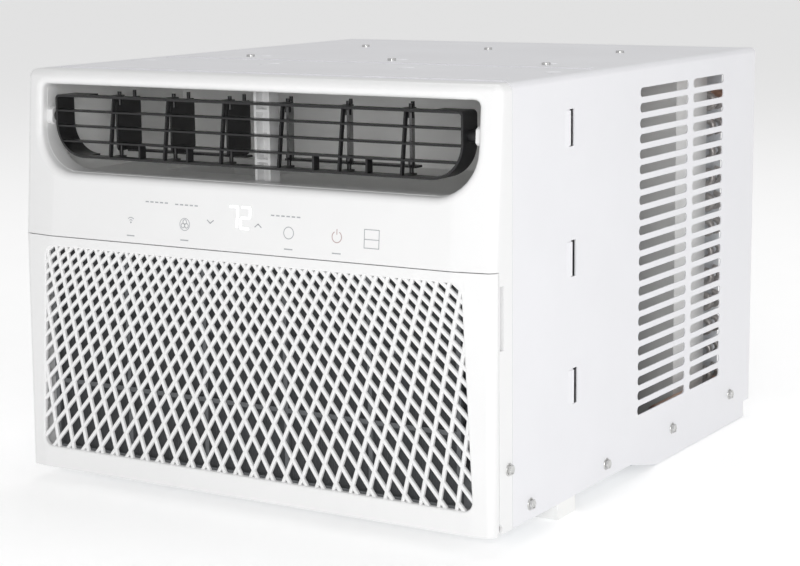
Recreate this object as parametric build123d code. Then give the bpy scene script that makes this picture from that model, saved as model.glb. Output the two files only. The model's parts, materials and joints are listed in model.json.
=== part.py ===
from build123d import *
import os
from math import cos, hypot, radians, sin

# Window air conditioner, built as the pieces that it comes apart into.
# Millimetres, +Z up, +X to the right of someone facing the front, front towards -Y.
# The origin is the centre of the footprint on the surface that the unit stands on.
# Depths are measured back from the front face of the panel.

# ---------------------------------------------------------------- driving sizes
WIDTH = 483.0            # cabinet, side to side
CABINET_HEIGHT = 361.0   # underside of the cabinet to its top
CABINET_DEPTH = 511.0    # sheet cabinet, from the front panel back
PANEL_DEPTH = 36.0       # moulded front panel
FOOT_HEIGHT = 14.0       # sump and sill rail below the cabinet
SHEET = 1.2              # steel sheet
MOULDING = 2.5           # wall of the plastic mouldings
SEAM_GAP = 0.8           # gap between neighbouring covers
FIT_GAP = 0.4            # gap between a piece and what encloses it
RUN_GAP = 0.08           # radial clearance of a pin that turns in its bore
LINK_GAP = 0.4           # side clearance of a pin in its link slot

# front panel
GRILLE_HEIGHT = 214.0
GRILLE_DEPTH = 13.0
BEVEL_TOP = 36.0         # width of the angled front corner beside the outlet
BEVEL_LOW = 18.0         # and at the foot of the grille
BEVEL_FALL = 0.16        # how far the corner falls back, per mm of its width
CORNER_R = 8.0
TOP_ROUND = 7.0
FACE_LEAN = 0.085        # how far the face above the grille leans back, per mm of height

# air outlet
OUTLET_HALF = 223.0
OUTLET_LOW = 271.0       # above the cabinet underside
OUTLET_TOP = 349.5
OUTLET_CORNER = 38.0
OUTLET_TOP_CORNER = 5.0

# louvre that tilts in the outlet
CRADLE_HALF = 208.5
CRADLE_LOW = 283.5
CRADLE_TOP = 339.0
CRADLE_FRONT = 16.0
CRADLE_DEPTH = 23.0
CRADLE_WALL = 2.0
CRADLE_CORNER = 30.0
BAR_DEPTH = 11.0
BAR_THICK = 1.5
BAR_COUNT = 5
STUBS = (-117.0, -65.0, 65.0, 117.0)   # short posts between the two lowest bars
CRADLE_PIVOT_D = 27.2
CRADLE_PIVOT_Z = 319.0
CRADLE_PIN_R = 3.0
CRADLE_BOSS_R = 5.0
PIVOT_BOSS = 6.0         # how far the fixed pivot boss stands into the outlet
PIVOT_BOSS_R = 8.0

# upright vanes
VANE_SPACING = 60.0
VANES_PER_SIDE = 3
VANE_THICK = 2.0
VANE_NOSE = 5.0          # pivot to leading edge
VANE_TAIL = 28.0         # pivot to trailing edge
VANE_PIVOT_D = 34.2
VANE_PIN_R = 1.8
LINK_RADIUS = 21.0       # pivot to link pin
LINK_PIN_R = 1.5
LINK_THICK = 1.8
RIGHT_VANE_TURN = 27.0   # resting turn of the right-hand vanes, degrees
VANE_SWING = 30.0        # furthest turn either way, degrees

# lattice of the intake grille
LATTICE_HALF_TOP = 213.5
LATTICE_HALF_LOW = 224.0
LATTICE_LOW = 20.0
LATTICE_TOP = 204.5
LATTICE_CORNER = 9.0
LATTICE_DEPTH = 1.5
LATTICE_THICK = 3.0
STRUT = 3.3
FAN_HALF = 295.0         # sideways place of each point that the struts fan out from
FAN_HEIGHT = 583.0       # its height
STRUT_PITCH = 11.52      # strut to strut along the level PITCH_LEVEL
PITCH_LEVEL = 200.0

# hinge of the intake grille
HINGE_D = 11.0
HINGE_Z = 4.5
HINGE_PIN_R = 1.75
KNUCKLE_R = 3.8
KNUCKLE_LENGTH = 6.0
KNUCKLE_GAP = 0.6
HINGE_X = 200.0

# side vents and side curtain slots
VENT_ROWS = 22
VENT_PITCH = 13.76
VENT_HEIGHT = 8.3
VENT_TOP = 336.0
VENT_COLUMNS = ((239.0, 345.5), (357.0, 430.5))   # behind the seam
CURTAIN_SLOTS = ((104.0, 317.0), (108.0, 207.0), (112.0, 97.0))
CURTAIN_SLOT = (8.5, 31.0)
CURTAIN_TAB = 1.2

# sump of the base pan and the sill rail, behind the seam
SUMP_START = 270.0
SUMP_SLOPE = 12.0
SUMP_END = 497.0
PAN_FLANGE = 40.0
RAIL_START = 80.0
RAIL_DEPTH = 33.0
RAIL_SCREW_X = 150.0
GLAND = (175.0, 166.0)   # bush for the mains lead, as (x, depth)
GLAND_R = 6.0
CORD_R = 3.8
DRAIN_X = -150.0
DRAIN_Z = 14.0
DRAIN_R = 7.0

# top sheet, behind the seam
BEAD_STARTS = (10.0, 165.0)
BEAD_WIDTH = 8.0
BEAD_RISE = 0.8
CABINET_ROUND = 5.0
FLANGE = 14.0            # turned-in edge round the back
TOP_HOLE_D = 105.0
TOP_HOLE_SPACING = 147.5
TOP_HOLE_R = 2.1

# fasteners
SCREW_R = 2.0
SCREW_HEAD = 8.0
SCREW_WASHER_R = 5.5
HOLE_GAP = 0.25

# air path and machinery
AXIS_X = -60.0
AXIS_Z = 164.0           # above the cabinet underside
SHAFT_R = 5.0
WHEEL_R = 84.0
WHEEL_WIDTH = 78.0
WHEEL_BLADES = 36
SCROLL_R = 98.0
DUCT_HALF = 226.0
COIL_HALF = 205.0
EVAPORATOR_D = 44.0
EVAPORATOR_THICK = 42.0
EVAPORATOR_TOP = 248.0
SCROLL_FRONT = 101.0
SCROLL_BACK = 212.0
BULKHEAD_D = 228.0
MOTOR_D = 240.0
MOTOR_LENGTH = 60.0
MOTOR_R = 46.0
FAN_R = 150.0
FAN_D = 374.0
FAN_WIDTH = 26.0
FAN_BLADES = 5
TIP_GAP = 4.0
SHROUD_D = 408.0
CONDENSER_D = 482.0
CONDENSER_THICK = 46.0
CONDENSER_HALF = 212.0
COMPRESSOR_X = 150.0
COMPRESSOR_D = 338.0
COMPRESSOR_R = 56.0
COMPRESSOR_HEIGHT = 205.0
ACCUMULATOR = (70.0, 300.0)
ACCUMULATOR_SPAN = (66.0, 196.0)
PIPE_X = 229.0
PIPE_LEVELS = (230.0, 46.0)   # where pipes pass the bulkhead, above the underside
DRIER_D = (340.0, 420.0)
LOW_PIPE = 30.0               # outdoor pipes stay below the vents
HIGH_PIPE = 348.0             # or above them

# ---------------------------------------------------------------- derived places
HALF = WIDTH / 2
BASE_Z = FOOT_HEIGHT
TOP_Z = FOOT_HEIGHT + CABINET_HEIGHT
FRONT_Y = -(CABINET_DEPTH + PANEL_DEPTH) / 2
SEAM_D = PANEL_DEPTH
BACK_D = PANEL_DEPTH + CABINET_DEPTH
PAN_HALF = HALF - SHEET - FIT_GAP
GRILLE_TOP = BASE_Z + GRILLE_HEIGHT
SHAFT_Z = BASE_Z + AXIS_Z
DUCT_FLOOR = BASE_Z + OUTLET_LOW - 8.0
DUCT_TOP = BASE_Z + OUTLET_TOP + 5.0
SCREW_HOLE_R = SCREW_R + HOLE_GAP
FRAME_D = GRILLE_DEPTH + SEAM_GAP
FINGER_SLOT = (FRAME_D + MOULDING + 2.0, BASE_Z + 176.5)
FILTER_D = LATTICE_DEPTH + LATTICE_THICK + FIT_GAP
VANE_LOW = CRADLE_LOW + CRADLE_WALL + 4.5
VANE_HIGH = CRADLE_TOP - CRADLE_WALL - 0.6
LINK_Z = CRADLE_LOW + CRADLE_WALL + 2.2
CONDENSER_SPAN = (CONDENSER_HALF, CONDENSER_D, CONDENSER_THICK, SHEET + 1, BASE_Z + 338)
EVAPORATOR_SPAN = (COIL_HALF, EVAPORATOR_D, EVAPORATOR_THICK, BASE_Z + 22.5, BASE_Z + EVAPORATOR_TOP)
BAND_Z = BASE_Z + (GRILLE_HEIGHT + OUTLET_LOW) / 2    # middle of the control band
BOARD_HALF_HEIGHT = 16.0
DISPLAY_D = MOULDING + FACE_LEAN * (BAND_Z + BOARD_HALF_HEIGHT - GRILLE_TOP) + 0.3
BOARD_D = DISPLAY_D + 4.7
BOARD_THICK = 1.6


# ---------------------------------------------------------------- shape helpers
def block(x0, x1, d0, d1, z0, z1):
    """Box between two corners, given as x, depth and height."""
    middle = Pos((x0 + x1) / 2, FRONT_Y + (d0 + d1) / 2, (z0 + z1) / 2)
    return middle * Box(x1 - x0, d1 - d0, z1 - z0)


def rod_x(x0, x1, d, z, r):
    return Pos((x0 + x1) / 2, FRONT_Y + d, z) * Rot(0, 90, 0) * Cylinder(r, x1 - x0)


def rod_y(x, d0, d1, z, r):
    return Pos(x, FRONT_Y + (d0 + d1) / 2, z) * Rot(90, 0, 0) * Cylinder(r, d1 - d0)


def rod_z(x, d, z0, z1, r):
    return Pos(x, FRONT_Y + d, (z0 + z1) / 2) * Cylinder(r, z1 - z0)


def polygon(points):
    return make_face(Polyline(*points, close=True))


def rounded(points, radii):
    """Closed outline with its own radius at each corner."""
    return make_face(FilletPolyline(*points, radius=radii, close=True))


def from_front(shape, d0, d1):
    """Extrude a shape drawn as (x, z) from depth d0 back to d1."""
    plane = Plane(origin=(0, FRONT_Y + d0, 0), x_dir=(1, 0, 0), z_dir=(0, -1, 0))
    return extrude(plane * shape, -(d1 - d0))


def from_side(shape, x0, x1):
    """Extrude a shape drawn as (depth, z) from x0 to x1."""
    plane = Plane(origin=(x0, FRONT_Y, 0), x_dir=(0, 1, 0), z_dir=(1, 0, 0))
    return extrude(plane * shape, x1 - x0)


def from_above(shape, z0, z1):
    """Extrude a shape drawn as (x, depth) from z0 up to z1."""
    plane = Plane(origin=(0, FRONT_Y, z0), x_dir=(1, 0, 0), z_dir=(0, 0, 1))
    return extrude(plane * shape, z1 - z0)


def leaning(shape, z0, z1):
    """Extrude a shape drawn as (x, depth), leaning back with height above the grille."""
    start = FACE_LEAN * (z0 - GRILLE_TOP)
    plane = Plane(origin=(0, FRONT_Y + start, z0), x_dir=(1, 0, 0), z_dir=(0, 0, 1))
    return extrude(plane * shape, (z1 - z0) * hypot(1, FACE_LEAN), dir=(0, FACE_LEAN, 1))


def fuse(pieces):
    whole = pieces[0]
    for piece in pieces[1:]:
        whole += piece
    return whole


def group(pieces):
    """Separate solids that share one node."""
    return Compound(children=[solid for piece in pieces for solid in piece.solids()])


def both_sides(piece):
    return [piece, mirror(piece, about=Plane.YZ)]


def screw_x(x, d, z, side, length=8.0):
    """Hex washer-head screw driven into a side wall; side is +1 or -1."""
    washer = rod_x(x, x + 0.8, d, z, SCREW_WASHER_R)
    head_shape = RegularPolygon(SCREW_HEAD / 2, 6, major_radius=False)
    plane = Plane(origin=(x + 0.8, FRONT_Y + d, z), x_dir=(0, 1, 0), z_dir=(1, 0, 0))
    head = extrude(plane * head_shape, 2.6)
    shank = rod_x(x - length, x, d, z, SCREW_R)
    screw = washer + head + shank
    return screw if side > 0 else mirror(screw, about=Plane.YZ)


def screw_z(x, d, z, length=8.0):
    """Pan-head screw driven down into a level sheet."""
    return rod_z(x, d, z, z + 2.0, SCREW_HEAD / 2) + rod_z(x, d, z - length, z, SCREW_R)


def pipe(points, r, bend):
    """Round tube along straight runs joined by bends."""
    path = FilletPolyline(*[(x, FRONT_Y + d, z) for x, d, z in points], radius=bend)
    start = Plane(origin=path @ 0, z_dir=path % 0)
    return sweep(sections=start * Circle(r), path=path)


# ---------------------------------------------------------------- where screws go
SIDE_SCREWS = [(SEAM_D + d, BASE_Z + z) for d, z in ((31, 13), (175, 13), (318, 14), (459, 18))]
BEZEL_SCREW = (30.0, BASE_Z + 51.0)
TOP_SCREWS_FRONT = [(x, SEAM_D + 200.0) for x in (-152.0, 8.0, 168.0)]
TOP_SCREWS_REAR = [(x, SHROUD_D + 12.0) for x in (-137.0, 8.0, 153.0)]
TOP_HOLES = [(i * TOP_HOLE_SPACING, SEAM_D + TOP_HOLE_D) for i in (-1.5, -0.5, 0.5, 1.5)]
RAIL_SCREWS = [(x, SEAM_D + RAIL_START + RAIL_DEPTH / 2) for x in (-RAIL_SCREW_X, RAIL_SCREW_X)]


# ---------------------------------------------------------------- cabinet
def side_outline():
    """Side of the cabinet as (depth, z): its lower edge follows the sump."""
    low = 1.0
    return polygon([
        (SEAM_D, BASE_Z), (SEAM_D + SUMP_START - 45, BASE_Z), (SEAM_D + SUMP_START + SUMP_SLOPE, low),
        (SEAM_D + SUMP_END, low), (SEAM_D + SUMP_END, BASE_Z + 3), (BACK_D, BASE_Z + 3),
        (BACK_D, TOP_Z + 1), (SEAM_D, TOP_Z + 1)])


def vent_cutters():
    cutters = []
    for d0, d1 in VENT_COLUMNS:
        for row in range(VENT_ROWS):
            z = BASE_Z + VENT_TOP - row * VENT_PITCH
            slot = SlotOverall(d1 - d0, VENT_HEIGHT)
            place = Pos(SEAM_D + (d0 + d1) / 2, z)
            cutters.append(from_side(place * slot, -HALF - 1, HALF + 1))
    return cutters


def curtain_tab(d, z):
    """Lanced tab beside a curtain slot: it ramps out of the side towards the slot."""
    width, height = CURTAIN_SLOT
    ramp = polygon([(HALF - SHEET / 2, d - width * 1.5), (HALF, d - width * 1.5),
                    (HALF + CURTAIN_TAB, d - width / 2), (HALF - SHEET / 2, d - width / 2)])
    return from_above(ramp, z - height / 2 + 1, z + height / 2 - 1)


def cabinet_shell():
    z0 = -5.0
    profile = rounded([(-HALF, z0), (HALF, z0), (HALF, TOP_Z), (-HALF, TOP_Z)], [0, 0, CABINET_ROUND, CABINET_ROUND])
    hollow = rounded([(-HALF + SHEET, z0 - 1), (HALF - SHEET, z0 - 1),
                      (HALF - SHEET, TOP_Z - SHEET), (-HALF + SHEET, TOP_Z - SHEET)],
                     [0, 0, CABINET_ROUND - SHEET, CABINET_ROUND - SHEET])
    shell = from_front(profile, SEAM_D, BACK_D) - from_front(hollow, SEAM_D - 1, BACK_D + 1)
    shell = shell & from_side(side_outline(), -HALF - 1, HALF + 1)
    flange = from_front(profile, BACK_D - SHEET, BACK_D)
    flange -= block(-HALF + FLANGE, HALF - FLANGE, BACK_D - 5, BACK_D + 5, -10, TOP_Z - FLANGE)
    shell += flange & from_side(side_outline(), -HALF - 1, HALF + 1)
    for start in BEAD_STARTS:
        d = SEAM_D + start
        shell += block(-HALF + 14, HALF - 14, d, d + BEAD_WIDTH, TOP_Z - SHEET, TOP_Z + BEAD_RISE)
    for x, d in TOP_HOLES:
        shell += rod_z(x, d, TOP_Z - 4.0, TOP_Z - SHEET / 2, TOP_HOLE_R + 1.2)
    for d, z in CURTAIN_SLOTS:
        for tab in both_sides(curtain_tab(SEAM_D + d, BASE_Z + z)):
            shell += tab
    cutters = vent_cutters()
    for d, z in CURTAIN_SLOTS:
        w, h = CURTAIN_SLOT
        cutters.append(block(-HALF - 5, HALF + 5, SEAM_D + d - w / 2, SEAM_D + d + w / 2,
                             BASE_Z + z - h / 2, BASE_Z + z + h / 2))
    cutters += [rod_x(-HALF - 1, HALF + 1, d, z, SCREW_HOLE_R) for d, z in SIDE_SCREWS]
    cutters += [rod_z(x, d, TOP_Z - 3, TOP_Z + 2, SCREW_HOLE_R)
                for x, d in TOP_SCREWS_FRONT + TOP_SCREWS_REAR]
    cutters += [rod_z(x, d, TOP_Z - 6, TOP_Z + 2, TOP_HOLE_R) for x, d in TOP_HOLES]
    return shell - cutters


def pan_outline(inset):
    """Base pan seen from the side, as (depth, z)."""
    front = SEAM_D + FIT_GAP + inset
    back = SEAM_D + SUMP_END - inset
    step = SEAM_D + SUMP_START
    slope = SUMP_SLOPE
    top = BASE_Z + PAN_FLANGE + (10 if inset else 0)
    return polygon([(front, BASE_Z + inset), (step, BASE_Z + inset), (step + slope, inset),
                    (back, inset), (back, top), (front, top)])


def base_pan():
    pan = from_side(pan_outline(0), -PAN_HALF, PAN_HALF)
    pan -= from_side(pan_outline(SHEET), -PAN_HALF + SHEET, PAN_HALF - SHEET)
    deck = BASE_Z + SHEET
    x0, x1 = COMPRESSOR_X - 72, COMPRESSOR_X + 72
    d0, d1 = SEAM_D + SUMP_START, COMPRESSOR_D + 50
    pan += block(x0, x1, d0, d1, 0, deck)
    pan -= block(x0 + SHEET, x1 - SHEET, d0 + SHEET, d1 - SHEET, -1, deck - SHEET)
    d, z = BEZEL_SCREW
    for ear in both_sides(block(PAN_HALF - 2 * SHEET, PAN_HALF - SHEET, 20, SEAM_D + 30,
                                BASE_Z + PAN_FLANGE - 8, z + 12)):
        pan += ear
    cutters = [rod_x(-HALF, HALF, sd, sz, SCREW_HOLE_R) for sd, sz in SIDE_SCREWS]
    cutters.append(rod_x(-HALF, HALF, d, z, SCREW_HOLE_R))
    cutters += [rod_z(x, d, BASE_Z - 1, deck + 1, SCREW_HOLE_R) for x, d in RAIL_SCREWS]
    cutters += [rod_z(x, d, deck - 3, deck + 1, SCREW_HOLE_R) for x, d in compressor_feet()]
    cutters.append(rod_z(*GLAND, BASE_Z - 2, deck + 1, GLAND_R))
    cutters.append(rod_y(DRAIN_X, SEAM_D + SUMP_END - 5, SEAM_D + SUMP_END + 2, DRAIN_Z, DRAIN_R))
    return pan - cutters


def compressor_feet():
    """Three feet on a circle round the compressor, as (x, depth)."""
    reach = COMPRESSOR_R + 9.0
    angles = [radians(a) for a in (30, 150, 270)]
    return [(COMPRESSOR_X + reach * cos(a), COMPRESSOR_D + reach * sin(a)) for a in angles]


def sill_rail():
    d0, d1 = SEAM_D + RAIL_START, SEAM_D + RAIL_START + RAIL_DEPTH
    rail = block(-HALF, HALF, d0, d1, 0, BASE_Z)
    rail -= block(-HALF + MOULDING, HALF - MOULDING, d0 + MOULDING, d1 - MOULDING,
                  -1, BASE_Z - MOULDING)
    for x, d in RAIL_SCREWS:
        rail += rod_z(x, d, 2, BASE_Z - MOULDING / 2, 4.5)
        rail -= rod_z(x, d, BASE_Z - 10, BASE_Z + 1, SCREW_HOLE_R)
    for i in (-1.5, -0.5, 0.5, 1.5):
        rail += block(i * WIDTH / 5 - 1, i * WIDTH / 5 + 1, d0 + 1, d1 - 1, 2, BASE_Z - 1)
    return rail


def drain_plug():
    d = SEAM_D + SUMP_END
    plug = rod_y(DRAIN_X, d - 4, d, DRAIN_Z, DRAIN_R - FIT_GAP / 2)
    plug += rod_y(DRAIN_X, d, d + 3, DRAIN_Z, DRAIN_R + 3)
    return plug


def cord_gland():
    """Bush in the underside where the mains lead leaves."""
    x, d = GLAND
    bush = rod_z(x, d, BASE_Z - 5, BASE_Z, GLAND_R + 3)
    bush += rod_z(x, d, BASE_Z, BASE_Z + 9, GLAND_R - FIT_GAP / 2)
    return bush - rod_z(x, d, BASE_Z - 6, BASE_Z + 10, CORD_R)


# ---------------------------------------------------------------- front panel
def plan_outline(bevel, back, inset=0.0):
    """Front panel seen from above, as (x, depth), with its angled corners."""
    half = HALF - inset
    edge = HALF - bevel
    fall = bevel * BEVEL_FALL + inset
    points = [(-half, back), (-half, fall), (-edge, inset), (edge, inset), (half, fall), (half, back)]
    corner = min(CORNER_R, 1.15 * (GRILLE_DEPTH - bevel * BEVEL_FALL)) - inset
    return rounded(points, [0, corner, 30, 30, corner, 0])


def outlet_outline(grow=0.0):
    half = OUTLET_HALF + grow
    low = BASE_Z + OUTLET_LOW - grow
    top = BASE_Z + OUTLET_TOP + grow
    return rounded([(-half, low), (half, low), (half, top), (-half, top)],
                   [OUTLET_CORNER + grow, OUTLET_CORNER + grow,
                    OUTLET_TOP_CORNER + grow, OUTLET_TOP_CORNER + grow])


def front_bezel():
    """Fixed front: the outlet and control face above, and the frame round the grille."""
    z0 = GRILLE_TOP + SEAM_GAP / 2
    back = SEAM_D - FIT_GAP
    face = leaning(plan_outline(BEVEL_TOP, back), z0, TOP_Z)
    face -= block(-HALF - 1, HALF + 1, back, 2 * SEAM_D, z0 - 1, TOP_Z + 1)
    rim = [e for e in face.faces().sort_by(Axis.Z)[-1].edges() if e.center().Y < FRONT_Y + SEAM_D - 2]
    face = fillet(rim, TOP_ROUND)
    hollow = leaning(plan_outline(BEVEL_TOP, SEAM_D + 5, MOULDING), z0 + MOULDING, TOP_Z - MOULDING)
    lid = [e for e in hollow.faces().sort_by(Axis.Z)[-1].edges() if e.center().Y < FRONT_Y + SEAM_D]
    face -= fillet(lid, TOP_ROUND - MOULDING)
    sleeve = from_front(outlet_outline(2.0), 4.0, back)
    face += sleeve & leaning(plan_outline(BEVEL_TOP, back, 0.5), z0, TOP_Z - 1)
    frame = block(-HALF, HALF, FRAME_D, back, BASE_Z, z0 + MOULDING)
    frame -= block(-HALF + MOULDING, HALF - MOULDING, FRAME_D + MOULDING, SEAM_D + 5,
                   BASE_Z + MOULDING, z0 + 1)
    window = block(-HALF + 22, HALF - 22, 0, SEAM_D, BASE_Z + 18, z0 + 1)
    bezel = face + (frame - window)
    bezel -= from_front(outlet_outline(), -1, SEAM_D + 1)
    z = BASE_Z + CRADLE_PIVOT_Z
    for boss in both_sides(rod_x(OUTLET_HALF - PIVOT_BOSS, OUTLET_HALF + 1, CRADLE_PIVOT_D, z,
                                 PIVOT_BOSS_R)):
        bezel += boss
    for bore in both_sides(rod_x(OUTLET_HALF - PIVOT_BOSS - 1, OUTLET_HALF - 0.5, CRADLE_PIVOT_D, z,
                                 CRADLE_PIN_R + RUN_GAP)):
        bezel -= bore
    for piece in both_sides(finger_pocket()):
        bezel += piece
    d, z = FINGER_SLOT
    for piece in both_sides(block(HALF - 9, HALF + 1, d - 3, d + 3, z - 26, z + 26)):
        bezel -= piece
    d, z = BEZEL_SCREW
    bezel -= rod_x(-HALF - 1, HALF + 1, d, z, SCREW_HOLE_R)
    relief = polygon([(FRAME_D - 1, BASE_Z - 1), (FRAME_D + 4.5, BASE_Z - 1),
                      (FRAME_D + 4.5, BASE_Z + 6), (FRAME_D - 1, BASE_Z + 11)])
    bezel -= from_side(relief, -HALF - 1, HALF + 1)
    for lug in both_sides(hinge_lug()):
        bezel += lug
    for bore in both_sides(rod_x(HINGE_X - KNUCKLE_LENGTH - 5, HINGE_X + 5, HINGE_D,
                                 BASE_Z + HINGE_Z, HINGE_PIN_R + RUN_GAP)):
        bezel -= bore
    return bezel


def finger_pocket():
    """Closed pocket behind the finger slot in the side of the frame."""
    d, z = FINGER_SLOT
    return block(HALF - 10.5, HALF - MOULDING / 2, d - 4.2, d + 4.5, z - 27.5, z + 27.5)


def hinge_lug():
    """Fixed half of one hinge; the lug stands forward from the foot of the frame."""
    x1 = HINGE_X
    x0 = x1 - KNUCKLE_LENGTH
    z = BASE_Z + HINGE_Z
    knuckle = rod_x(x0, x1, HINGE_D, z, KNUCKLE_R)
    arm = block(x0, x1, HINGE_D, FRAME_D + MOULDING + 3, z - 1.6, z + 1.6)
    post = block(x0, x1, FRAME_D + 4.6, FRAME_D + 7, z - 2,
                 BASE_Z + 16)
    return knuckle + arm + post


# ---------------------------------------------------------------- intake grille
def strut_line(index, side):
    """Centre line of one strut as (nx, nz, c) with nx*x + nz*z = c.

    Struts of one side fan out from a single point above that side.
    """
    apex = (side * FAN_HALF, BASE_Z + FAN_HEIGHT)
    foot = ((index + 0.5) * STRUT_PITCH, BASE_Z + PITCH_LEVEL)
    dx, dz = foot[0] - apex[0], foot[1] - apex[1]
    size = hypot(dx, dz)
    nx, nz = -dz / size, dx / size
    return nx, nz, nx * foot[0] + nz * foot[1]


def meet(line_a, line_b, shift_a, shift_b):
    """Crossing of two struts' edges, each shifted to the side of its centre line."""
    (a1, b1, c1), (a2, b2, c2) = line_a, line_b
    c1, c2 = c1 + shift_a, c2 + shift_b
    det = a1 * b2 - a2 * b1
    return (c1 * b2 - c2 * b1) / det, (a1 * c2 - a2 * c1) / det


def lattice_opening(grow=0.0):
    """Corners of the grille opening, in order, with rounded corners as short chords."""
    low, top = BASE_Z + LATTICE_LOW - grow, BASE_Z + LATTICE_TOP + grow
    wide, narrow = LATTICE_HALF_LOW + grow, LATTICE_HALF_TOP + grow
    corners = [(-wide, low, 180), (wide, low, 270), (narrow, top, 0), (-narrow, top, 90)]
    points = []
    r = LATTICE_CORNER + grow
    for x, z, start in corners:
        cx = x - r if x > 0 else x + r
        cz = z + r if z == low else z - r
        for step in range(6):
            a = radians(start + 18 * step)
            points.append((cx + r * cos(a), cz + r * sin(a)))
    return points


def clip(points, edge_a, edge_b):
    """Keep the part of a polygon to the left of the line from edge_a to edge_b."""
    (ax, az), (bx, bz) = edge_a, edge_b

    def side(p):
        return (bx - ax) * (p[1] - az) - (bz - az) * (p[0] - ax)
    kept = []
    for i, p in enumerate(points):
        q = points[(i + 1) % len(points)]
        sp, sq = side(p), side(q)
        if sp >= 0:
            kept.append(p)
        if sp * sq < 0:
            t = sp / (sp - sq)
            kept.append((p[0] + t * (q[0] - p[0]), p[1] + t * (q[1] - p[1])))
    return kept


def area(points):
    pairs = zip(points, points[1:] + points[:1])
    return sum(x0 * z1 - x1 * z0 for (x0, z0), (x1, z1) in pairs) / 2


def tidy_polygon(points):
    """Drop points that lie on top of each other."""
    kept = []
    for p in points:
        if not kept or hypot(p[0] - kept[-1][0], p[1] - kept[-1][1]) > 0.05:
            kept.append(p)
    while len(kept) > 2 and hypot(kept[0][0] - kept[-1][0], kept[0][1] - kept[-1][1]) <= 0.05:
        kept.pop()
    return kept


def lattice_cells():
    """Every hole between the struts, cut off at the edge of the opening."""
    opening = lattice_opening()
    reach = 80
    half = STRUT / 2
    cells = []
    for i in range(-reach, reach):
        left = strut_line(i, 1), strut_line(i + 1, 1)
        for j in range(-reach, reach):
            right = strut_line(j, -1), strut_line(j + 1, -1)
            middle = meet(left[0], right[0], 0, 0)
            if abs(middle[0]) > LATTICE_HALF_LOW + 40 or not -30 < middle[1] - BASE_Z < 240:
                continue
            cell = [meet(left[0], right[0], half, half), meet(left[1], right[0], -half, half),
                    meet(left[1], right[1], -half, -half), meet(left[0], right[1], half, -half)]
            if area(cell) < 0:
                cell.reverse()
            for a, b in zip(opening, opening[1:] + opening[:1]):
                cell = clip(cell, a, b)
                if len(cell) < 3:
                    break
            cell = tidy_polygon(cell)
            if len(cell) > 2 and area(cell) > 4.0:
                cells.append(cell)
    return cells


def lattice_plate():
    """Plate of crossing struts that fills the opening, with a rim that enters the panel."""
    rim = 3.0
    low, top = BASE_Z + LATTICE_LOW - rim, BASE_Z + LATTICE_TOP + rim
    outer = [(-LATTICE_HALF_LOW - rim, low), (LATTICE_HALF_LOW + rim, low),
             (LATTICE_HALF_TOP + rim, top), (-LATTICE_HALF_TOP - rim, top)]
    y = FRONT_Y + LATTICE_DEPTH

    def loop(points):
        return Wire.make_polygon([(x, y, z) for x, z in points], close=True)
    face = Face(loop(outer), [loop(cell) for cell in lattice_cells()])
    return Solid.extrude(face, Vector(0, LATTICE_THICK, 0))


def intake_grille():
    """Hinged cover over the filter, with its lattice of crossing struts."""
    z1 = GRILLE_TOP - SEAM_GAP / 2
    def level(bevel, z, inset=0.0):
        plane = Plane(origin=(0, FRONT_Y, z), x_dir=(1, 0, 0), z_dir=(0, 0, 1))
        return plane * plan_outline(bevel, GRILLE_DEPTH + (3 if inset else 0), inset)
    cover = loft([level(BEVEL_LOW, BASE_Z), level(BEVEL_TOP, z1)], ruled=True)
    hollow = loft([level(BEVEL_LOW, BASE_Z + MOULDING, MOULDING),
                   level(BEVEL_TOP, z1 - MOULDING, MOULDING)], ruled=True)
    cover -= hollow
    cover -= from_front(polygon(lattice_opening(1.0)), -1, MOULDING + 4)
    z = BASE_Z + HINGE_Z
    x0 = HINGE_X + KNUCKLE_GAP
    x1 = x0 + KNUCKLE_LENGTH
    for knuckle in both_sides(rod_x(x0, x1, HINGE_D, z, KNUCKLE_R)
                              + block(x0, x1, MOULDING - 0.5, HINGE_D, z - 2, z + 2)):
        cover += knuckle
    notch = block(HINGE_X - KNUCKLE_LENGTH - KNUCKLE_GAP, HINGE_X + KNUCKLE_GAP, MOULDING + 1,
                  GRILLE_DEPTH + 1, BASE_Z - 1, z + KNUCKLE_R + 3)
    for piece in both_sides(notch):
        cover -= piece
    for bore in both_sides(rod_x(x0 - 1, x1 + 1, HINGE_D, z, HINGE_PIN_R)):
        cover -= bore
    relief = polygon([(GRILLE_DEPTH - 3.0, BASE_Z - 1), (GRILLE_DEPTH + 3, BASE_Z - 1),
                      (GRILLE_DEPTH + 3, BASE_Z + 5)])
    cover -= from_side(relief, -HALF - 1, -HINGE_X - KNUCKLE_LENGTH - 2)
    cover -= from_side(relief, HINGE_X + KNUCKLE_LENGTH + 2, HALF + 1)
    return cover + lattice_plate()


def hinge_pins():
    z = BASE_Z + HINGE_Z
    x0 = HINGE_X - KNUCKLE_LENGTH
    x1 = HINGE_X + KNUCKLE_GAP + KNUCKLE_LENGTH
    return group(both_sides(rod_x(x0, x1, HINGE_D, z, HINGE_PIN_R)))


def filter_frame():
    low, top = BASE_Z + LATTICE_LOW - 2, BASE_Z + LATTICE_TOP + 3
    half = LATTICE_HALF_TOP - 2
    frame = block(-half, half, FILTER_D, FILTER_D + 4, low, top)
    columns, rows = 5, 3
    bar = 4.0
    cell_w = (2 * half - bar) / columns - bar
    cell_h = (top - low - bar) / rows - bar
    for i in range(columns):
        x = -half + bar + i * (cell_w + bar)
        for j in range(rows):
            z = low + bar + j * (cell_h + bar)
            frame -= block(x, x + cell_w, FILTER_D - 1, FILTER_D + 5, z, z + cell_h)
    return frame


def filter_mesh():
    low, top = BASE_Z + LATTICE_LOW, BASE_Z + LATTICE_TOP + 1
    half = LATTICE_HALF_TOP - 4
    return block(-half, half, FILTER_D + 4, FILTER_D + 4.8, low, top)


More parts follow.
